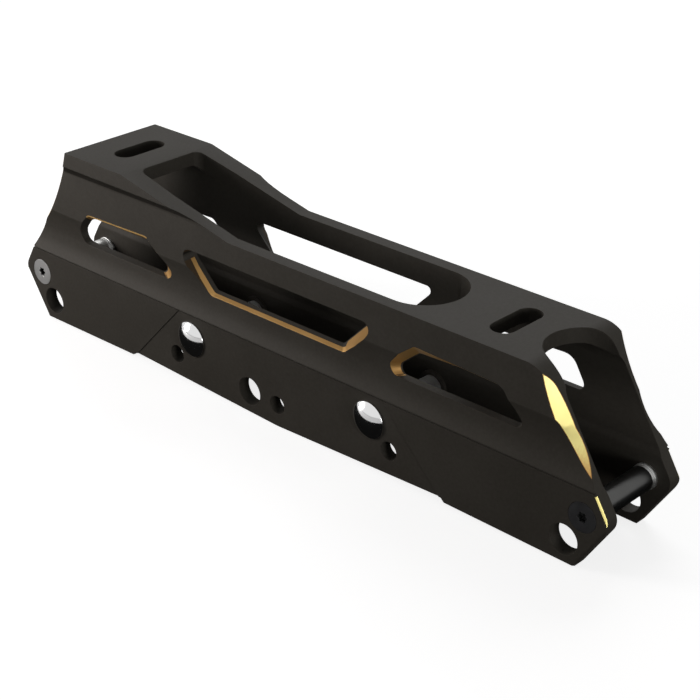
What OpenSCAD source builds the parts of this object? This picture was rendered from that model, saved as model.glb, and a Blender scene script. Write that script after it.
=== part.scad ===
// Inline skate frame for four wheels: one machined channel, two long axles with
// their thread inserts, and two dome barrels with their screws.
// X runs along the frame to the toe, Y across it, Z up from the lowest edge.

/* [Axles] */
// Distance from one wheel axle to the next
axle_pitch = 80.7; // [78:0.1:84]
// Height of the axle line over the lowest edge
axle_h = 17.8; // [17:0.1:18.8]
// Diameter of the axle bars that carry the wheels
axle_d = 7.9; // [7.6:0.1:8]
// Diameter of the flush axle and screw heads
head_d = 9.5; // [9:0.1:10]
// Thickness of the flush axle and screw heads
head_t = 2.2; // [1.8:0.1:2.6]
// Diameter of the threaded end of each end axle
thread_d = 6.6; // [6:0.1:7]
// Diameter of the screw shank inside each barrel
shank_d = 5; // [4:0.1:5.5]
// Length of the screw shank inside each barrel
shank_len = 12; // [8:1:16]
// Diameter of the dome heads of the middle barrels
dome_d = 12.6; // [11.5:0.1:13.5]
// Height of the dome heads over the wall
dome_h = 2.6; // [2:0.1:3]
// Radial clearance of every bar in its bore
fit_gap = 0.05; // [0.02:0.01:0.1]
// Gap under every head when it is screwed home
seat_gap = 0.04; // [0.02:0.01:0.1]

/* [Walls] */
// Width over the flat upper walls
wall_w = 37; // [36.4:0.1:38]
// Width over the skirt at the two ends
skirt_w = 35.7; // [35.2:0.1:36]
// Depth of the recess in the middle of the skirt
recess_depth = 0.35; // [0.2:0.05:0.6]
// Width over the band beside the rear deck
band_w = 41; // [40:0.1:42]
// Width of the channel between the upper walls
channel_w = 27.4; // [27:0.1:28]
// Width of the channel between the thick lower walls
lower_channel_w = 26; // [25.6:0.1:26.4]
// Height of the axle bosses over the inside of the lower walls
boss_h = 1; // [0.6:0.1:1.2]
// Diameter of the axle bosses
boss_d = 10.8; // [10.4:0.1:12]
// Radius of the long hollow in the outside of each wall
scoop_r = 21; // [19:0.1:26]
// Lean of both frame ends from upright in degrees
end_rake = 31.25; // [28:0.25:34]

/* [Deck] */
// Height of the rear deck over the lowest edge
rear_deck_h = 69.9; // [68.5:0.1:71.5]
// Height of the front deck over the lowest edge
front_deck_h = 59.2; // [58.3:0.1:60.3]
// Thickness of both deck plates
deck_t = 5; // [4:0.1:5.5]
// Distance between the two mounting slots
slot_spacing = 165; // [160:1:168]
// Length of each mounting slot across the frame
slot_len = 20; // [16:0.5:21]
// Width of each mounting slot along the frame
slot_w = 8; // [6.5:0.1:9]
// Width of the long deck opening at its rear end
opening_w = 26.4; // [23:0.1:27]
// Radius of the round front end of the deck opening
opening_r = 13.8; // [12:0.1:14]
// Radius of the round relief in the front edge of the deck
relief_r = 12.7; // [11:0.1:13]

/* [Holes] */
// Diameter of the three lower wheel holes in each wall
large_hole_d = 9.8; // [9:0.1:10.4]
// Diameter of the three weight saving holes in each wall
small_hole_d = 6.3; // [5:0.1:7]
// Distance of the large holes below the axle line
large_hole_drop = 9.7; // [9.4:0.1:10]

/* [Hidden] */
$fn = 48;
nominal_pitch = 80.7;
stretch = axle_pitch / nominal_pitch;
end_reach = 9.35;
half_len = 1.5 * axle_pitch + end_reach;
end_x = 1.5 * axle_pitch;
mid_x = 0.5 * axle_pitch;
over = 5;
eps = 0.01;
wall_y = wall_w / 2;
skirt_y = skirt_w / 2;
recess_y = skirt_y - recess_depth;
band_y = band_w / 2;
channel_y = channel_w / 2;
lower_y = lower_channel_w / 2;
boss_y = lower_y - boss_h;
skirt_h = 9.1;
skirt_top = axle_h + skirt_h;
groove_w = 0.6;
groove_depth = 0.45;
crease_h = 27.2;
crease_z = axle_h + crease_h;
scoop_h = 17.74;
scoop_z = axle_h + scoop_h;
scoop_y = wall_y + sqrt(scoop_r * scoop_r - (crease_z - scoop_z) * (crease_z - scoop_z));
band_h = 46.8;
band_z = axle_h + band_h;
band_step = band_y - wall_y;
band_drop = 3.5;
band_r = (band_step * band_step + band_drop * band_drop) / (2 * band_step);
pad_x = half_len - 11;
pad_h = 0.7;
pad_step_h = 1.3;
notch_x = 71.3 * stretch;
notch_h = 2.5;
notch_len = 1.3;
end_round_r = 5;
foot_rake = atan((half_len - pad_x) / (axle_h - pad_h));
foot_len = (axle_h - pad_h) / cos(foot_rake);
slope_rear_x = -68.9 * stretch;
slope_front_x = -19.8 * stretch;
front_round_r = 10.8;
slot_shift = -0.7;
rear_slot_x = slot_shift - slot_spacing / 2;
front_slot_x = slot_shift + slot_spacing / 2;
opening_rear_x = -67.8 * stretch;
opening_front_x = 46.8 * stretch;
opening_corner_r = 3;
relief_x = 107 * stretch;
front_scallop_r = 72;
front_scallop_h = 27.4;
front_scallop_depth = 3.46;
front_scallop_turn = 49;
tip_scallop_r = 23.9;
tip_scallop_h = 20.75;
tip_scallop_depth = 4.04;
tip_scallop_turn = 35.9;
rear_scallop_r = 115;
rear_scallop_h = 31;
rear_scallop_depth = 2.75;
rear_scallop_turn = 52.6;
channel_join_x = -45 * stretch;
wall_round_r = 4.5;
spread = channel_y - lower_y;
lower_wall_h = 7;
wall_step_h = 3.2;
lower_top = axle_h + lower_wall_h;
upper_start = lower_top + wall_step_h;
insert_d = 8;
insert_ring_d = 8.4;
nose_y = boss_y - 1.1;
socket_r = 1.35;
socket_depth = 1.6;
dome_rim = 0.5;
bevel_w = 0.8;
bevel_len = (skirt_h - groove_w) / cos(end_rake);
rear_large_x = -115 * stretch;
mid_large_x = -12.7 * stretch;
front_large_x = 115.2 * stretch;
rear_small_x = -48.1 * stretch;
mid_small_x = 0.2 * stretch;
front_small_x = 48.6 * stretch;
rear_small_drop = 8.2;
mid_small_drop = 10;
front_small_drop = 7.9;
barrel_end = recess_y - head_t - 0.3;

// Piece to draw, or all of them

// Points of a polygon whose corners [x, y, r] are rounded by tangent arcs
function unit(v) = v / norm(v);
function turned(v, a) = [v[0] * cos(a) - v[1] * sin(a), v[0] * sin(a) + v[1] * cos(a)];
function xy(p) = [p[0], p[1]];
function corner(a, p, b, r, n) =
    let (u = unit(a - p))
    let (v = unit(b - p))
    let (half = acos(u * v) / 2)
    let (centre = p + unit(u + v) * r / sin(half))
    let (start = p + u * r / tan(half) - centre)
    let (way = u[0] * v[1] - u[1] * v[0] > 0 ? -1 : 1)
    [for (i = [0 : n]) centre + turned(start, way * (180 - 2 * half) * i / n)];
function rounded(pts, n = 6) = [
    for (i = [0 : len(pts) - 1])
        let (a = xy(pts[(i + len(pts) - 1) % len(pts)]))
        let (b = xy(pts[(i + 1) % len(pts)]))
        each pts[i][2] > 0 ? corner(a, xy(pts[i]), b, pts[i][2], n) : [xy(pts[i])]
];
function end_at(z) = half_len - (z - axle_h) * tan(end_rake);
function moved(pts, sx) = [for (p = pts) [p[0] * sx, p[1] + axle_h, p[2]]];

// Solid between y0 and y1 over an outline drawn in X and Z
module across(y0, y1) {
    translate([0, y1, 0])
        rotate([90, 0, 0])
            linear_extrude(height = y1 - y0)
                children();
}

// Solid between x0 and x1 over an outline drawn in Y and Z
module along(x0, x1) {
    translate([x0, 0, 0])
        rotate([90, 0, 90])
            linear_extrude(height = x1 - x0)
                children();
}

// Bar along Y between y0 and y1
module bar(d, y0, y1) {
    translate([0, y1, 0])
        rotate([90, 0, 0])
            cylinder(d = d, h = y1 - y0);
}

// Both side walls at once
module both_walls() {
    for (side = [0, 1])
        mirror([0, side, 0])
            children();
}

// Both frame ends at once
module both_ends() {
    for (side = [0, 1])
        mirror([side, 0, 0])
            children();
}

// Side view of the frame
module side_outline() {
    polygon(rounded([
        [-pad_x, pad_h, 0],
        [-notch_x, pad_step_h, 0],
        [-notch_x + notch_len, notch_h, 0],
        [0, 0, 0],
        [notch_x - notch_len, notch_h, 0],
        [notch_x, pad_step_h, 0],
        [pad_x, pad_h, 0],
        [half_len, axle_h, end_round_r],
        [end_at(front_deck_h), front_deck_h, front_round_r],
        [slope_front_x, front_deck_h, 0],
        [slope_rear_x, rear_deck_h, 0],
        [-end_at(rear_deck_h), rear_deck_h, 0],
        [-half_len, axle_h, end_round_r]
    ], 12));
}

// Right half of the outside section: skirt, hollow, flat wall and deck band
module half_section() {
    difference() {
        polygon([
            [0, 0],
            [skirt_y, 0],
            [skirt_y, skirt_top],
            [wall_y, skirt_top],
            [wall_y, band_z - band_drop],
            [band_y, band_z - band_drop],
            [band_y, rear_deck_h + over],
            [0, rear_deck_h + over]
        ]);
        translate([scoop_y, scoop_z])
            circle(r = scoop_r, $fn = 96);
        translate([wall_y + band_r, band_z - band_drop])
            circle(r = band_r);
        translate([skirt_y, skirt_top])
            square([2 * groove_depth, groove_w], center = true);
    }
}

// Half of the channel between the walls up to a ceiling
module half_channel(top) {
    corner_z = top - wall_round_r;
    polygon(concat(
        [[0, -over], [lower_y, -over]],
        [for (i = [0 : 6]) [
            lower_y + spread * (1 - cos(i * 30)) / 2,
            lower_top + (upper_start - lower_top) * i / 6
        ]],
        [for (i = [0 : 9]) [
            channel_y - wall_round_r + wall_round_r * cos(i * 10),
            corner_z + wall_round_r * sin(i * 10)
        ]],
        [[0, top]]
    ));
}

// Room for the wheels under both decks
module channel() {
    both_walls() {
        along(-half_len - over, channel_join_x)
            half_channel(rear_deck_h - deck_t);
        along(channel_join_x - eps, half_len + over)
            half_channel(front_deck_h - deck_t);
    }
}

// Long opening between the two decks
module deck_opening() {
    rear_y = opening_w / 2;
    inner_x = opening_rear_x + opening_corner_r;
    translate([opening_front_x, 0, axle_h + 20])
        cylinder(r = opening_r, h = 60, $fn = 96);
    translate([0, 0, axle_h + 20])
        linear_extrude(height = 60)
            polygon([
                [opening_rear_x, opening_corner_r - rear_y],
                [inner_x, -rear_y],
                [-50 * stretch, -opening_r],
                [opening_front_x, -opening_r],
                [opening_front_x, opening_r],
                [-50 * stretch, opening_r],
                [inner_x, rear_y],
                [opening_rear_x, rear_y - opening_corner_r]
            ]);
    for (side = [-1, 1])
        translate([inner_x, side * (rear_y - opening_corner_r), axle_h + 20])
            cylinder(r = opening_corner_r, h = 60);
}

// Round relief in the front edge of the front deck
module front_relief() {
    translate([relief_x, 0, axle_h + 20])
        cylinder(r = relief_r, h = 60, $fn = 96);
    translate([relief_x, -relief_r, axle_h + 20])
        cube([60, 2 * relief_r, 60]);
}

// Mounting slot through a deck plate
module mounting_slot(x) {
    reach = (slot_len - slot_w) / 2;
    for (side = [-1, 1])
        translate([x, side * reach, axle_h + 30])
            cylinder(d = slot_w, h = 60);
    translate([x - slot_w / 2, -reach, axle_h + 30])
        cube([slot_w, 2 * reach, 60]);
}

// Window cut straight through a wall, opening outwards to a second outline
module window(inner, outer) {
    inside = moved(inner, stretch);
    outside = moved(outer, stretch);
    across(boss_y, channel_y + eps)
        polygon(rounded(inside));
    hull() {
        across(channel_y, channel_y + eps)
            polygon(rounded(inside));
        across(wall_y, wall_y + eps)
            polygon(rounded(outside));
    }
}

// Long middle window with its deep bevel
module middle_window() {
    window(
        [[-42.9, 33.2, 2], [-29.9, 20.2, 2.5], [26.4, 20.2, 2.5], [39.4, 33.2, 1.5]],
        [[-44.6, 33.4, 3], [-32.6, 17.3, 3], [31.3, 17.3, 3], [43.4, 33.2, 2.5]]
    );
}

// Rear and front windows, pointed towards the middle
module rear_window() {
    window(
        [[-101.2, 18.5, 3.4], [-93.9, 27.4, 4], [-62.2, 28, 2.5], [-52, 18.6, 2.2]],
        [[-103.4, 17.7, 4], [-91, 30.5, 4], [-60.4, 31.5, 2.5], [-41.6, 17.7, 2.4]]
    );
}

module front_window() {
    window(
        [[98.4, 18.6, 2], [92.4, 28.8, 5], [57.4, 27.3, 2.5], [46.6, 18.5, 2.2]],
        [[100, 18.1, 2], [91.6, 30.8, 5], [59, 31.8, 2.5], [40.6, 18.1, 2.8]]
    );
}

// Recess along the middle of the skirt
module skirt_recess() {
    foot = notch_x;
    head = foot - 25.3;
    across(recess_y, wall_y + over)
        polygon([
            [-foot - over, -over],
            [foot + over, -over],
            [head, skirt_top],
            [-head, skirt_top]
        ]);
}

// Curved bevel down the outside of a frame end, deepest at height h over the axle line
module end_scallop(r, h, depth, turn) {
    translate([end_at(axle_h + h), wall_y - depth, axle_h + h])
        rotate([0, -end_rake, 0])
            rotate([0, 0, -turn])
                translate([-20, r, 0])
                    rotate([0, 90, 0])
                        cylinder(r = r, h = 40, $fn = 180);
}

// Thin bevel up a leaning end edge of the skirt, starting at the axle line
module skirt_bevel(lean, reach) {
    rotate([0, -lean, 0])
        rotate([0, 0, 45])
            translate([-bevel_w / 2, -over, -over])
                cube([bevel_w, 2 * over, over + reach]);
}

// Thin bevel down the lower end edge of the skirt
module foot_bevel() {
    translate([half_len, skirt_y, axle_h])
        mirror([0, 0, 1])
            skirt_bevel(foot_rake, foot_len + over);
}

// Hole through both walls
module wall_hole(x, z, d) {
    translate([x, 0, z])
        bar(d, -band_y, band_y);
}

// Holes of the lower wheel positions and the smaller ones between them
module side_holes() {
    low = axle_h - large_hole_drop;
    for (x = [rear_large_x, mid_large_x, front_large_x])
        wall_hole(x, low, large_hole_d);
    wall_hole(rear_small_x, axle_h - rear_small_drop, small_hole_d);
    wall_hole(mid_small_x, axle_h - mid_small_drop, small_hole_d);
    wall_hole(front_small_x, axle_h - front_small_drop, small_hole_d);
}

// Inside bosses that space the wheel bearings
module axle_bosses() {
    for (x = [-end_x, -mid_x, mid_x, end_x])
        translate([x, 0, axle_h])
            bar(boss_d, -lower_y - eps, -boss_y);
    for (x = [-mid_x, mid_x])
        translate([x, 0, axle_h])
            bar(boss_d, boss_y, lower_y + eps);
}

// Bores through the walls for the long end axles
module end_axle_bores() {
    for (x = [-end_x, end_x])
        translate([x, 0, axle_h]) {
            bar(axle_d + 2 * fit_gap, -band_y, 0);
            bar(head_d + 2 * fit_gap, -band_y, head_t - skirt_y + seat_gap);
            bar(insert_d, 0, band_y);
        }
}

// Bores through the walls for the middle barrels and their screws
module mid_axle_bores() {
    for (x = [-mid_x, mid_x])
        translate([x, 0, axle_h]) {
            bar(axle_d + 2 * fit_gap, -band_y, band_y);
            bar(head_d + 2 * fit_gap, recess_y - head_t - seat_gap, band_y);
        }
}

module frame_body() {
    color([0.30, 0.28, 0.26])
        difference() {
            union() {
                difference() {
                    intersection() {
                        across(-band_y - over, band_y + over)
                            side_outline();
                        both_walls()
                            along(-half_len - over, half_len + over)
                                half_section();
                    }
                    channel();
                }
                axle_bosses();
            }
            deck_opening();
            front_relief();
            mounting_slot(rear_slot_x);
            mounting_slot(front_slot_x);
            both_walls() {
                rear_window();
                middle_window();
                front_window();
                skirt_recess();
                end_scallop(front_scallop_r, front_scallop_h, front_scallop_depth, front_scallop_turn);
                end_scallop(tip_scallop_r, tip_scallop_h, tip_scallop_depth, tip_scallop_turn);
                mirror([1, 0, 0])
                    end_scallop(rear_scallop_r, rear_scallop_h, rear_scallop_depth, rear_scallop_turn);
                translate([half_len, skirt_y, axle_h])
                    skirt_bevel(end_rake, bevel_len);
                both_ends()
                    foot_bevel();
            }
            side_holes();
            end_axle_bores();
            mid_axle_bores();
        }
}

// Star socket sunk into a flush head, opening towards -Y
module star_socket(y) {
    translate([0, y, 0]) {
        bar(2 * socket_r, -eps, socket_depth);
        for (turn = [0 : 60 : 300])
            rotate([0, turn, 0])
                translate([socket_r, 0, 0])
                    bar(0.8, -eps, socket_depth);
    }
}

// Axle bar with a flush head at -Y and a threaded end in the far wall
module end_axle() {
    tip_y = skirt_y - 0.6;
    difference() {
        union() {
            bar(head_d, -skirt_y, head_t - skirt_y);
            bar(axle_d, -skirt_y, nose_y - seat_gap);
            bar(thread_d, 0, tip_y);
        }
        star_socket(-skirt_y);
    }
}

module rear_axle() {
    color([0.72, 0.72, 0.72])
        translate([-end_x, 0, axle_h])
            end_axle();
}

module front_axle() {
    color([0.16, 0.15, 0.15])
        translate([end_x, 0, axle_h])
            end_axle();
}

// Flanged insert pressed into the far wall from inside, its nose as thick as the axle
module thread_insert() {
    difference() {
        union() {
            bar(axle_d, nose_y, boss_y);
            bar(insert_ring_d, boss_y, lower_y);
            bar(insert_d, boss_y, skirt_y);
        }
        bar(thread_d + 2 * fit_gap, 0, band_y);
    }
}

module rear_thread_insert() {
    color([0.80, 0.80, 0.80])
        translate([-end_x, 0, axle_h])
            thread_insert();
}

module front_thread_insert() {
    color([0.80, 0.80, 0.80])
        translate([end_x, 0, axle_h])
            thread_insert();
}

// Dome of the barrel head, its flat side at y and its crown towards -Y
module dome(y) {
    rise = dome_h - dome_rim;
    dome_r = dome_d / 2;
    ball_r = (dome_r * dome_r + rise * rise) / (2 * rise);
    intersection() {
        bar(dome_d, y - dome_h, y);
        translate([0, y - dome_h + ball_r, 0])
            sphere(r = ball_r, $fn = 96);
    }
}

// Barrel with a dome head at -Y, hollow at +Y for its screw
module mid_barrel() {
    difference() {
        union() {
            dome(-recess_y - seat_gap);
            bar(axle_d, -recess_y - 1, barrel_end);
        }
        bar(shank_d + 2 * fit_gap, barrel_end - shank_len - 1, band_y);
    }
}

module rear_mid_barrel() {
    color([0.88, 0.88, 0.88])
        translate([-mid_x, 0, axle_h])
            mid_barrel();
}

module front_mid_barrel() {
    color([0.88, 0.88, 0.88])
        translate([mid_x, 0, axle_h])
            mid_barrel();
}

// Flat screw that closes a barrel from +Y
module mid_screw() {
    mirror([0, 1, 0])
        difference() {
            union() {
                bar(head_d, -recess_y, head_t - recess_y);
                bar(shank_d, -recess_y, shank_len - barrel_end);
            }
            star_socket(-recess_y);
        }
}

module rear_mid_screw() {
    color([0.16, 0.15, 0.15])
        translate([-mid_x, 0, axle_h])
            mid_screw();
}

module front_mid_screw() {
    color([0.16, 0.15, 0.15])
        translate([mid_x, 0, axle_h])
            mid_screw();
}

frame_body();
rear_axle();
front_axle();
rear_thread_insert();
front_thread_insert();
rear_mid_barrel();
front_mid_barrel();
rear_mid_screw();
front_mid_screw();
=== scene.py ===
from math import radians

import bmesh
import bpy
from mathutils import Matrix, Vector


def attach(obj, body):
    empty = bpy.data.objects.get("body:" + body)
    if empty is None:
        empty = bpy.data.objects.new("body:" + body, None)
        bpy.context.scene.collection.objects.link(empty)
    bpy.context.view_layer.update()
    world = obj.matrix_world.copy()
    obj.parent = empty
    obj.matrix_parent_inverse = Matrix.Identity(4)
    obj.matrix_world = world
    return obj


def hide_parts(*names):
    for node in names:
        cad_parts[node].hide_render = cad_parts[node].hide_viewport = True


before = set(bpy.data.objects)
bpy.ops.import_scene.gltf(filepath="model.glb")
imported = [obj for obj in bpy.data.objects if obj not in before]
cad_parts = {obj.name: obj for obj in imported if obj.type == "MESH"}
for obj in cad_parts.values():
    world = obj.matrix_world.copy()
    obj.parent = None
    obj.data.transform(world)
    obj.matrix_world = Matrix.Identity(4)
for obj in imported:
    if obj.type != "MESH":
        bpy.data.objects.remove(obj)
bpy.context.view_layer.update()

scene = bpy.context.scene
scene.view_settings.view_transform = "Standard"
axleLine = 0.0178           # height of the axles over the lowest edge


def grey(value):
    return (value, value, value, 1.0)


def tone(red, green, blue):
    # a linear colour from three display values between 0 and 255
    linear = []
    for value in (red, green, blue):
        share = value / 255
        linear.append(((share + 0.055) / 1.055) ** 2.4 if value > 10 else share / 12.92)
    return (*linear, 1.0)


def within(value, limits):
    return limits[0] < value < limits[1]


class Wire:
    # one output socket, with the operators that shader maths needs
    def __init__(self, finish, socket):
        self.finish = finish
        self.socket = socket

    def maths(self, operation, first, second):
        return self.finish.add("ShaderNodeMath", {"operation": operation}, {0: first, 1: second})

    def __add__(self, other):
        return self.maths("ADD", self, other)

    def __radd__(self, other):
        return self.maths("ADD", other, self)

    def __sub__(self, other):
        return self.maths("SUBTRACT", self, other)

    def __rsub__(self, other):
        return self.maths("SUBTRACT", other, self)

    def __mul__(self, other):
        return self.maths("MULTIPLY", self, other)

    def __rmul__(self, other):
        return self.maths("MULTIPLY", other, self)

    def __gt__(self, other):
        return self.maths("GREATER_THAN", self, other)

    def __lt__(self, other):
        return self.maths("LESS_THAN", self, other)

    def __abs__(self):
        return self.maths("ABSOLUTE", self, 0.0)


socketNames = {
    "colour": "Base Color", "roughness": "Roughness", "metallic": "Metallic", "normal": "Normal",
    "specular": "Specular IOR Level",
}
noiseRange = {"wide": (0.3, 0.7), "narrow": (0.35, 0.65)}    # the part of a noise that is spread out


class Finish:
    # a material under construction, around its Principled shader
    def __init__(self, name):
        self.material = bpy.data.materials.new(name)
        self.material.use_nodes = True
        self.tree = self.material.node_tree
        self.shader = self.tree.nodes["Principled BSDF"]
        self.out = self.tree.nodes["Material Output"]

    def add(self, kind, settings=None, inputs=None, out=0):
        node = self.tree.nodes.new(kind)
        for key, value in (settings or {}).items():
            setattr(node, key, value)
        for key, value in (inputs or {}).items():
            self.plug(node.inputs[key], value)
        return Wire(self, node.outputs[out])

    def plug(self, socket, value):
        if isinstance(value, Wire):
            self.tree.links.new(value.socket, socket)
        else:
            socket.default_value = value

    def set(self, **values):
        for key, value in values.items():
            self.plug(self.shader.inputs[socketNames[key]], value)

    def place(self):
        return self.add("ShaderNodeTexCoord", out="Object")

    def parts(self, vector):
        split = self.add("ShaderNodeSeparateXYZ", inputs={0: vector})
        node = split.socket.node
        return [Wire(self, node.outputs[i]) for i in range(3)]

    def stretched(self, vector, scale):
        return self.add("ShaderNodeMapping", inputs={"Vector": vector, "Scale": scale})

    def noise(self, vector, values):
        # values are cells per metre, detail and roughness
        scale, detail, roughness = values
        return self.add("ShaderNodeTexNoise", inputs={
            "Vector": vector, "Scale": scale, "Detail": detail, "Roughness": roughness})

    def blend(self, factor, first, second):
        return self.add("ShaderNodeMix", {"data_type": "RGBA"}, {0: factor, 6: first, 7: second}, out=2)

    def between(self, value, low, high, newLow, newHigh):
        return self.add("ShaderNodeMapRange", {"clamp": True}, {
            "Value": value, "From Min": low, "From Max": high, "To Min": newLow, "To Max": newHigh})

    def spread(self, noise, limits=(0.0, 1.0)):
        # a noise spread out between two limits
        return self.between(noise, *noiseRange["wide"], *limits)

    def mottled(self, noise, first, second):
        # two colours in soft patches
        return self.blend(self.between(noise, *noiseRange["narrow"], 0.0, 1.0), first, second)

    def bump(self, height, values):
        # values are depth in metres and strength
        depth, strength = values
        return self.add("ShaderNodeBump", inputs={
            "Height": height, "Distance": depth, "Strength": strength})


def shared(first, second, shares):
    return first * shares[0] + second * shares[1]


camera = {
    "place": (0.346358, -0.351514, 0.271068),
    "turn": (63.1460, -0.0298, 43.2311),
    "lens": 87.0683,
    "sensor": 36.0,
    "nearest": 0.01,            # nothing nearer than this is drawn
}


def addCamera():
    data = bpy.data.cameras.new("camera")
    data.sensor_width = camera["sensor"]
    data.lens = camera["lens"]
    data.clip_start = camera["nearest"]
    eye = bpy.data.objects.new("camera", data)
    eye.location = camera["place"]
    eye.rotation_euler = [radians(a) for a in camera["turn"]]
    scene.collection.objects.link(eye)
    scene.camera = eye


studio = {
    "floorSize": (6.0, 6.0),
    "floorSeen": 0.55,          # floor grey that shows the shadow in the picture and in reflections
    "floorBounce": 0.05,        # floor grey that lights the underside
    "floorGlow": 0.80,          # white on top of it that no shadow dims
    "floorMirror": 0.40,        # the same in reflections
    "floorSpecular": 0.1,
    "worldLevel": 0.14,         # strength of the light from all sides
    "cardSize": (2.0, 0.38),
    "cardMiddle": (0.30, 0.11),
    "cardHeight": 0.0001,
    "cardGrey": 0.02,
    "matt": 0.9,                # roughness of the floor and the card
    "lamps": {                  # place, what it points at, diameter, watts, colour
        "backLamp": ((-0.42, 0.62, 0.80), (0.0, 0.0, 0.04), 0.80, 2.95, (1.0, 1.0, 1.0)),
        "rearLamp": ((-0.36, -0.29, 0.11), (-0.10, 0.0, 0.04), 0.18, 1.28, (1.0, 0.96, 0.95)),
        "frontLamp": ((1.10, -0.34, 0.12), (0.12, 0.0, 0.04), 0.34, 4.6, (1.0, 1.0, 1.0)),
    },
}


def flatSheet(name, size, middle, height):
    bm = bmesh.new()
    bmesh.ops.create_grid(bm, x_segments=1, y_segments=1, size=0.5)
    bmesh.ops.scale(bm, vec=(*size, 1.0), verts=bm.verts)
    bmesh.ops.translate(bm, vec=(*middle, height), verts=bm.verts)
    mesh = bpy.data.meshes.new(name)
    bm.to_mesh(mesh)
    bm.free()
    sheet = bpy.data.objects.new(name, mesh)
    scene.collection.objects.link(sheet)
    return sheet


def addFloor():
    floor = flatSheet("floor", studio["floorSize"], (0.0, 0.0), 0.0)
    finish = Finish("pale_floor")
    pictured = finish.add("ShaderNodeLightPath", out="Is Camera Ray")
    mirrored = finish.add("ShaderNodeLightPath", out="Is Glossy Ray")
    seen = finish.blend(pictured + mirrored, grey(studio["floorBounce"]), grey(studio["floorSeen"]))
    finish.set(colour=seen, roughness=studio["matt"], specular=studio["floorSpecular"])
    strength = pictured * studio["floorGlow"] + mirrored * studio["floorMirror"]
    glow = finish.add("ShaderNodeEmission", inputs={"Color": grey(1.0), "Strength": strength})
    lit = Wire(finish, finish.shader.outputs[0])
    both = finish.add("ShaderNodeAddShader", inputs={0: lit, 1: glow})
    finish.plug(finish.out.inputs["Surface"], both)
    floor.data.materials.append(finish.material)


def addDarkCard():
    # a dark card in front of the frame that only its shiny parts see
    card = flatSheet("dark_card", studio["cardSize"], studio["cardMiddle"], studio["cardHeight"])
    card.visible_camera = False
    card.visible_diffuse = False
    card.visible_shadow = False
    finish = Finish("dark_card")
    finish.set(colour=grey(studio["cardGrey"]), roughness=studio["matt"], specular=0.0)
    card.data.materials.append(finish.material)


def addWorld():
    # soft grey light for the object, plain white for the picture and for reflections
    world = bpy.data.worlds.new("studio")
    world.use_nodes = True
    scene.world = world
    tree = world.node_tree
    plain = tree.nodes["Background"]
    plain.inputs["Color"].default_value = grey(1.0)
    plain.inputs["Strength"].default_value = studio["worldLevel"]
    white = tree.nodes.new("ShaderNodeBackground")
    white.inputs["Color"].default_value = grey(1.0)
    white.inputs["Strength"].default_value = 1.0
    path = tree.nodes.new("ShaderNodeLightPath")
    seen = tree.nodes.new("ShaderNodeMath")
    tree.links.new(path.outputs["Is Camera Ray"], seen.inputs[0])
    tree.links.new(path.outputs["Is Glossy Ray"], seen.inputs[1])
    mix = tree.nodes.new("ShaderNodeMixShader")
    tree.links.new(seen.outputs[0], mix.inputs[0])
    tree.links.new(plain.outputs[0], mix.inputs[1])
    tree.links.new(white.outputs[0], mix.inputs[2])
    tree.links.new(mix.outputs[0], tree.nodes["World Output"].inputs["Surface"])


def addLamp(name, place, target, size, power, colour):
    data = bpy.data.lights.new(name, "AREA")
    data.shape = "DISK"
    data.size = size
    data.energy = power
    data.color = colour
    lamp = bpy.data.objects.new(name, data)
    lamp.location = place
    lamp.rotation_euler = (Vector(target) - Vector(place)).to_track_quat("-Z", "Y").to_euler()
    scene.collection.objects.link(lamp)


anodised = {
    "dark": tone(54, 51, 46),
    "light": tone(61, 58, 53),
    "grain": (3200.0, 2.0, 0.6),    # blasted grain; a noise is cells per metre, detail and roughness
    "cloud": (38.0, 3.0, 0.55),
    "fine": (900.0, 2.0, 0.5),
    "colourShares": (0.6, 0.4),     # of cloud and fine in the colour
    "roughShares": (0.5, 0.5),      # of cloud and grain in the roughness
    "grainBump": (0.00001, 0.35),   # depth and strength
    "roughness": (0.48, 0.58),
    "metallic": 0.1,
    "specular": 0.07,
    "paintedCreaseShade": 0.45,                 # brightness that the fillet under the deck's edge keeps under painted shade
}


def anodisedShade(finish):
    # place, colour, roughness and normal of the blasted dark anodising, shared by all its materials
    place = finish.place()
    grain = finish.noise(place, anodised["grain"])
    cloud = finish.noise(place, anodised["cloud"])
    fine = finish.noise(place, anodised["fine"])
    patches = shared(cloud, fine, anodised["colourShares"])
    colour = finish.mottled(patches, anodised["dark"], anodised["light"])
    rough = finish.spread(shared(cloud, grain, anodised["roughShares"]), anodised["roughness"])
    normal = finish.bump(grain, anodised["grainBump"])
    return place, colour, rough, normal


def anodisedMetal(name, paintedShade=1.0):
    # a share below 1 darkens colour and specular: a copy of the anodising with painted shade
    finish = Finish(name)
    _, colour, rough, normal = anodisedShade(finish)
    finish.set(colour=finish.blend(paintedShade, grey(0.0), colour), roughness=rough, normal=normal,
               metallic=anodised["metallic"], specular=anodised["specular"] * paintedShade)
    return finish.material


endGold = {
    # the pale gold and its mottle are cut gold that is partly a painted highlight
    "gold": tone(255, 243, 160),
    "deep": tone(250, 234, 148),
    "cloud": (60.0, 2.0, 0.5),
    "roughness": (0.40, 0.50),
    "metallic": 0.5,
    "lines": (2600.0, 2.0, 0.6),    # the cutter's marks
    "lineStretch": (1.0, 1.0, 0.06),
    "lineBump": (0.000004, 0.3),
    # the tip's brown is painted shade of the facet's lower end
    "paintedTipShade": tone(196, 140, 76),
    "tipHeights": (0.0122, 0.0205),    # over the axle line, where painted shade darkens the gold towards the tip
    "tipWander": 0.004,             # how far the marks move these heights
    "stripGap": 0.0008,             # gold that starts this far below the tip has no painted shade
    "edge": tone(150, 116, 62),     # the thin line round each bevel
    "edgeCloud": (400.0, 2.0, 0.5),
    # the line over a window is gold made paler by a painted highlight
    "line": tone(255, 208, 132),    # the thin line over a window, which lies
    "lineAbove": 0.020,             # above this height over the axle line
    "lineWithin": 0.100,            # and nearer to the middle than this
}


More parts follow.
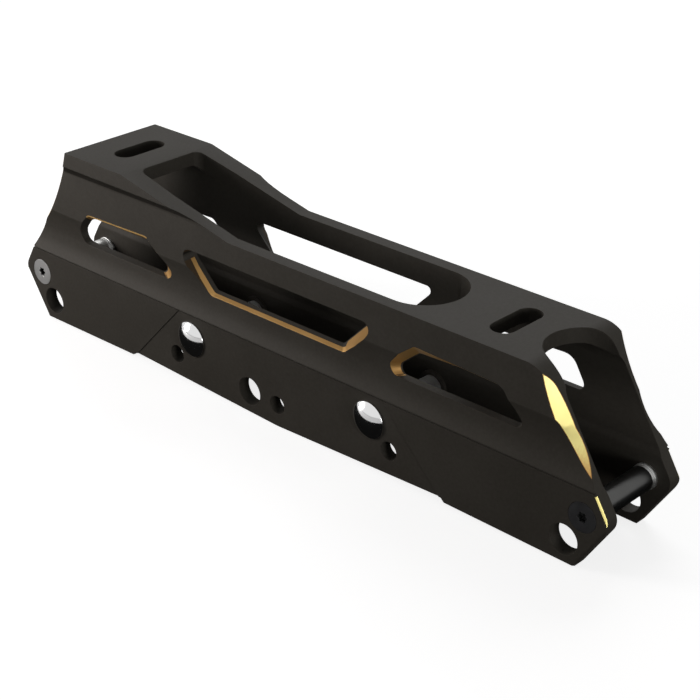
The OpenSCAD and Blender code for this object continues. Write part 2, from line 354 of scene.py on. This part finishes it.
def goldMetal():
    # pale gold of the cut end bevels, with the cutter's fine lines; the paleness is partly a painted
    # highlight
    finish = Finish("cut_gold_painted_highlight")
    place = finish.place()
    lines = finish.noise(finish.stretched(place, endGold["lineStretch"]), endGold["lines"])
    cloud = finish.noise(place, endGold["cloud"])
    height = finish.parts(place)[2] - axleLine
    tipFrom, tipTo = endGold["tipHeights"]
    # painted shade: the gold darkens towards the tip
    tipShadeRamp = finish.between(height + (lines - 0.5) * endGold["tipWander"], tipFrom, tipTo, 1.0, 0.0)
    paintedTipShade = tipShadeRamp * (height > tipFrom - endGold["stripGap"])
    goldAndPaintedHighlight = finish.mottled(cloud, endGold["deep"], endGold["gold"])
    finish.set(colour=finish.blend(paintedTipShade, goldAndPaintedHighlight, endGold["paintedTipShade"]),
               roughness=finish.spread(lines, endGold["roughness"]),
               normal=finish.bump(lines, endGold["lineBump"]), metallic=endGold["metallic"])
    return finish.material


def edgeMetal():
    # the thin deeper gold line round each cut end bevel, mottled with the tip's brown, and the paler one
    # over a window, which is gold partly painted as a highlight
    finish = Finish("gold_edge")
    place = finish.place()
    cloud = finish.noise(place, endGold["edgeCloud"])
    x, _, z = finish.parts(place)
    # the line over a window takes the pale colour, partly a painted highlight
    goldLineAndPaintedHighlight = (z - axleLine > endGold["lineAbove"]) * (abs(x) < endGold["lineWithin"])
    around = finish.blend(cloud, endGold["edge"], endGold["paintedTipShade"])
    finish.set(colour=finish.blend(goldLineAndPaintedHighlight, around, endGold["line"]),
               roughness=finish.spread(cloud, endGold["roughness"]), metallic=endGold["metallic"])
    return finish.material


windowGold = {
    "gold": tone(178, 140, 86),
    "deep": tone(166, 128, 76),
    "cloud": (60.0, 2.0, 0.5),
    "roughness": (0.40, 0.50),
    "metallic": 0.45,
    # painted shade for the outer part of the middle window's rear end
    "paintedShade": tone(66, 54, 40),
    "sillFrom": 0.0150,         # distance from the middle plane where the gold of the middle window begins
    "goldFrom": 0.0142,         # and that of the other windows
    "farFrom": 0.0166,          # and that of the far wall at the rear end of the middle window
    "goldTo": 0.0163,           # where it turns to painted shade at that rear end
    "sillEnds": (-0.046, 0.0285),
    "shadeUpTo": -0.0325,       # where that rear end stops
}


def windowMetal():
    # window bevels: gold cut through dark anodising that stays along the inside edge, with painted shade
    # on the outer part of the middle window's rear end
    finish = Finish("window_bevel")
    place, dark, rough, normal = anodisedShade(finish)
    x, y, _ = finish.parts(place)
    away = abs(y)
    rear, front = windowGold["sillEnds"]
    sill = (x > rear) * (x < front)
    rearEnd = (x > rear) * (x < windowGold["shadeUpTo"])
    start = windowGold["goldFrom"] + sill * (windowGold["sillFrom"] - windowGold["goldFrom"])
    stripe = away > start + rearEnd * (y > 0.0) * (windowGold["farFrom"] - windowGold["sillFrom"])
    # where the painted shade lies
    paintedShadeMask = (away > windowGold["goldTo"]) * rearEnd
    bright = stripe * (1 - paintedShadeMask)
    cloud = finish.noise(place, windowGold["cloud"])
    gold = finish.mottled(cloud, windowGold["deep"], windowGold["gold"])
    colour = finish.blend(stripe, dark, finish.blend(paintedShadeMask, gold, windowGold["paintedShade"]))
    cutRough = finish.spread(cloud, windowGold["roughness"])
    moreMetal = windowGold["metallic"] - anodised["metallic"]
    finish.set(colour=colour, roughness=rough * (1 - bright) + cutRough * bright, normal=normal,
               metallic=bright * moreMetal + anodised["metallic"], specular=anodised["specular"])
    return finish.material


turned = {
    "stretch": (1.0, 1.0, 0.05),
    "lines": (3500.0, 2.0, 0.6),
    "cloud": (90.0, 3.0, 0.5),
    "wear": 0.25,               # most of the worn colour that shows
    "roughShares": (0.6, 0.4),  # of lines and cloud in the roughness
}
steel = {
    "colour": tone(206, 206, 204),
    "worn": grey(0.35),
    "roughness": (0.34, 0.44),
    "bump": (0.000004, 0.3),
}
darkSteel = {
    "colour": tone(80, 80, 79),
    "worn": grey(0.055),
    "roughness": (0.30, 0.34),
    "bump": (0.000001, 0.3),
}


def turnedSteel(name, values):
    # turned metal: fine lines, worn a little unevenly
    finish = Finish(name)
    place = finish.place()
    lines = finish.noise(finish.stretched(place, turned["stretch"]), turned["lines"])
    cloud = finish.noise(place, turned["cloud"])
    worn = finish.spread(cloud, (0.0, turned["wear"]))
    finish.set(colour=finish.blend(worn, values["colour"], values["worn"]),
               roughness=finish.spread(shared(lines, cloud, turned["roughShares"]), values["roughness"]),
               normal=finish.bump(lines, values["bump"]), metallic=1.0)
    return finish.material


# the near-black of the sockets is painted shade in their recess
socketBlack = {
    "colour": grey(0.006),
    "light": grey(0.02),
    "socketMottle": (1500.0, 2.0, 0.5),
    "roughness": (0.22, 0.32),
    "specular": 0.5,
    "radius": 0.0019,           # how far from the axis a socket reaches
    "depth": 0.0002,            # how far under the head's outermost point its painted-dark inside begins
}


def socketMetal():
    # the near-black inside of the star sockets: painted shade in their recess, mottled a little
    finish = Finish("socket_painted_shade")
    socketMottle = finish.noise(finish.place(), socketBlack["socketMottle"])
    finish.set(colour=finish.blend(socketMottle, socketBlack["colour"], socketBlack["light"]),
               roughness=finish.spread(socketMottle, socketBlack["roughness"]), metallic=0.0,
               specular=socketBlack["specular"])
    return finish.material


chrome = {
    "colour": tone(222, 222, 222),
    "hazy": grey(0.72),
    "haze": (140.0, 3.0, 0.6),
    "roughness": (0.06, 0.12),
}


def chromeMetal():
    finish = Finish("dome_chrome")
    haze = finish.noise(finish.place(), chrome["haze"])
    finish.set(colour=finish.blend(finish.spread(haze), chrome["hazy"], chrome["colour"]),
               roughness=finish.spread(haze, chrome["roughness"]), metallic=1.0)
    return finish.material


blackSteel = {
    "dark": tone(54, 54, 55),
    "light": tone(68, 68, 69),
    "grain": (2600.0, 2.0, 0.6),
    "grainBump": (0.000006, 0.3),
    "cloud": (120.0, 2.0, 0.5),
    "roughness": (0.34, 0.46),
    "metallic": 0.6,
    "specular": 0.35,
}


def blackMetal():
    finish = Finish("black_steel")
    place = finish.place()
    grain = finish.noise(place, blackSteel["grain"])
    cloud = finish.noise(place, blackSteel["cloud"])
    finish.set(colour=finish.mottled(cloud, blackSteel["dark"], blackSteel["light"]),
               roughness=finish.spread(grain, blackSteel["roughness"]),
               normal=finish.bump(grain, blackSteel["grainBump"]),
               metallic=blackSteel["metallic"], specular=blackSteel["specular"])
    return finish.material


meshing = {
    "joined": 1e-6,             # corners nearer than this become one
    "shortest": 0.00005,        # edges shorter than this are dissolved
    "flat": 0.6,                # faces that bend by fewer degrees become one
    "faceWeight": 80,           # how far large flat faces keep their own shading
}


def settleOrder(bm):
    # a bevel can leave the faces in another order on each run, so they are ranked by their corners
    bm.verts.index_update()
    count = len(bm.verts)

    def rank(item):
        place = 0
        for number in sorted(v.index for v in item.verts)[:3]:
            place = place * count + number
        return place

    for items in (bm.edges, bm.faces):
        items.sort(key=rank)
        items.index_update()


def meshObject(name, bm, materials, body):
    settleOrder(bm)
    mesh = bpy.data.meshes.new(name)
    bm.to_mesh(mesh)
    bm.free()
    for material in materials:
        mesh.materials.append(material)
    piece = bpy.data.objects.new(name, mesh)
    scene.collection.objects.link(piece)
    even = piece.modifiers.new("even", "WEIGHTED_NORMAL")
    even.keep_sharp = True
    even.weight = meshing["faceWeight"]
    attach(piece, body)
    return piece


def mergedCopy(node):
    # a copy of a CAD node with its loose triangles joined and its flat faces made whole
    bm = bmesh.new()
    bm.from_mesh(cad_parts[node].data)
    bmesh.ops.remove_doubles(bm, verts=bm.verts, dist=meshing["joined"])
    bmesh.ops.dissolve_degenerate(bm, edges=bm.edges, dist=meshing["shortest"])
    bmesh.ops.dissolve_limit(bm, angle_limit=radians(meshing["flat"]), verts=bm.verts, edges=bm.edges,
                             delimit={"MATERIAL"})
    bmesh.ops.recalc_face_normals(bm, faces=bm.faces)
    return bm


def bends(edge, angle):
    return edge.is_manifold and edge.calc_face_angle(0.0) > radians(angle)


def breakEdges(bm, width, sharp, clamp=True):
    edges = [e for e in bm.edges if bends(e, sharp)]
    return bmesh.ops.bevel(bm, geom=edges, affect="EDGES", offset=width, offset_type="OFFSET", segments=2,
                           profile=0.5, clamp_overlap=clamp, material=-1)["faces"]


def smoothByAngle(bm, angle):
    for face in bm.faces:
        face.smooth = True
    for edge in bm.edges:
        edge.smooth = not bends(edge, angle)


bodyPiece = {
    "edge": 0.00016,            # width of the broken edges
    "sharp": 24.0,              # degrees from which an edge is broken
    "smooth": 28.0,             # and from which it stays sharp in the shading
    "topLine": 0.0004,          # width of the line over a rear window
    "stripTop": 0.0094,         # over the axle line; gold below it has no deeper line round it
}
slotOf = {"dark": 0, "endGold": 1, "windowGold": 2, "edge": 3, "paintedCreaseShade": 4}    # the frame's materials
regions = {                     # a face's lean is given in parts of its normal
    "endFrom": 0.085,           # end bevels lie this far from the middle or more,
    "endAlong": (0.25, 0.93),   # face their end,
    "endOutward": (0.2, 0.93),  # their side
    "endUp": 0.02,              # and up
    "windowFrom": 0.0136,       # window bevels lie this far from the middle plane or more
    "windowHeights": (0.0125, 0.0345),
    "windowWithin": 0.106,
    "windowOutward": (0.1, 0.97),
    "middleWithin": 0.040,      # in the middle window those that lean
    "middleLean": 0.3,          # this much are gold,
    "towardsEnd": 0.15,         # and in the others those that face their end
    "downward": 0.5,            # or face down
    "filletAbove": 0.030,       # the fillet under the deck's edge, which gets painted shade
    "filletFrom": 0.0125,
    "filletOutward": 0.15,
    "filletDown": 0.25,
    "lineAlong": (-0.100, -0.055),    # the upper outer edge of a rear window
    "lineAbove": 0.0297,
    "lineFrom": 0.0155,
}


def regionOf(face):
    # the material of a face of the frame, from its place and from where it faces
    spot = face.calc_center_median()
    normal = face.normal
    outward = normal.y if spot.y > 0 else -normal.y
    along = normal.x if spot.x > 0 else -normal.x
    height = spot.z - axleLine
    fromMiddle, fromPlane = abs(spot.x), abs(spot.y)
    if fromMiddle > regions["endFrom"] and normal.z > regions["endUp"]:
        if within(along, regions["endAlong"]) and within(outward, regions["endOutward"]):
            return slotOf["endGold"]
    atWindow = fromPlane > regions["windowFrom"] and fromMiddle < regions["windowWithin"]
    if atWindow and within(height, regions["windowHeights"]) and within(outward, regions["windowOutward"]):
        leans = abs(along) + abs(normal.z) > regions["middleLean"]
        middle = fromMiddle <= regions["middleWithin"] and leans
        if middle or along > regions["towardsEnd"] or normal.z < -regions["downward"]:
            return slotOf["windowGold"]
    # the fillet under the deck's edge takes the darker copy, painted shade
    atFillet = height > regions["filletAbove"] and fromPlane > regions["filletFrom"]
    if atFillet and outward > regions["filletOutward"] and normal.z < -regions["filletDown"]:
        return slotOf["paintedCreaseShade"]
    return slotOf["dark"]


def isTopLine(edge):
    # the upper outer edge of a rear window, which is cut down to a thin line of pale gold with a painted
    # highlight
    middle = (edge.verts[0].co + edge.verts[1].co) / 2
    kinds = {f.material_index for f in edge.link_faces}
    high = middle.z - axleLine > regions["lineAbove"] and abs(middle.y) > regions["lineFrom"]
    onEdge = kinds == {slotOf["dark"], slotOf["windowGold"]}
    return onEdge and high and within(middle.x, regions["lineAlong"])


def frameBody(materials):
    bm = mergedCopy("frame_body")
    for face in bm.faces:
        face.material_index = regionOf(face)
    topLines = [e for e in bm.edges if e.is_manifold and isTopLine(e)]
    bmesh.ops.bevel(bm, geom=topLines, affect="EDGES", offset=bodyPiece["topLine"], offset_type="OFFSET",
                    segments=1, clamp_overlap=False, material=slotOf["edge"])
    rims = set(breakEdges(bm, bodyPiece["edge"], bodyPiece["sharp"], False))
    for rim in rims:
        sides = [f for e in rim.edges for f in e.link_faces if f not in rims]
        if any(f.material_index == slotOf["endGold"] for f in sides):
            high = rim.calc_center_median().z - axleLine > bodyPiece["stripTop"]
            rim.material_index = slotOf["edge" if high else "endGold"]
    smoothByAngle(bm, bodyPiece["smooth"])
    piece = meshObject("frame_shell", bm, materials, "frame")
    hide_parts("frame_body")


metalPieces = {
    "edge": 0.00012,            # width of the broken edges
    "sharp": 30.0,              # degrees from which an edge is broken and stays sharp in the shading
    "barReach": 0.0125,         # how far from the middle plane the bar between the walls reaches
}


def metalPiece(node, name, body, material, barMaterial=None):
    # a turned piece, whose bar between the walls and whose socket have materials of their own
    bm = mergedCopy(node)
    ends = [v.co.y for v in bm.verts]
    outerY = max(-min(ends), max(ends))
    headSide = 1 if max(ends) == outerY else -1
    axisX = (min(v.co.x for v in bm.verts) + max(v.co.x for v in bm.verts)) / 2
    breakEdges(bm, metalPieces["edge"], metalPieces["sharp"])
    smoothByAngle(bm, metalPieces["sharp"])
    socketSpan = (metalPieces["barReach"], outerY - socketBlack["depth"])
    for face in bm.faces:
        spot = face.calc_center_median()
        fromAxis = Vector((spot.x - axisX, spot.z - axleLine)).length
        if barMaterial and abs(spot.y) < metalPieces["barReach"]:
            face.material_index = 1
        # the socket's faces take the near-black of painted shade
        elif fromAxis < socketBlack["radius"] and within(spot.y * headSide, socketSpan):
            face.material_index = 2
    piece = meshObject(name, bm, [material, barMaterial or material, paintedSocketShade], body)
    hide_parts(node)


addCamera()
addFloor()
addDarkCard()
addWorld()
for lampName, lampValues in studio["lamps"].items():
    addLamp(lampName, *lampValues)
print("studio ready")

# the second anodising is a darker copy: painted shade for the fillet under the deck's edge
dark, paintedCreaseShade = anodisedMetal("dark_anodised"), anodisedMetal("crease_painted_shade", anodised["paintedCreaseShade"])
gold, striped, thinEdge = goldMetal(), windowMetal(), edgeMetal()
satin, barSteel = turnedSteel("satin_steel", steel), turnedSteel("bar_steel", darkSteel)
black, shiny, paintedSocketShade = blackMetal(), chromeMetal(), socketMetal()
print("materials ready")

frameBody([dark, gold, striped, thinEdge, paintedCreaseShade])
print("frame ready")
metalPiece("rear_axle", "rear_axle_bar", "rear_axle_bar", satin)
metalPiece("front_axle", "front_axle_bar", "front_axle_bar", black, barSteel)
metalPiece("rear_thread_insert", "rear_insert", "frame", satin)
metalPiece("front_thread_insert", "front_insert", "frame", satin)
metalPiece("rear_mid_barrel", "rear_barrel", "rear_barrel", shiny, satin)
metalPiece("front_mid_barrel", "front_barrel", "front_barrel", shiny, satin)
metalPiece("rear_mid_screw", "rear_screw", "rear_screw", black)
metalPiece("front_mid_screw", "front_screw", "front_screw", black)
print("axles, barrels and screws ready")
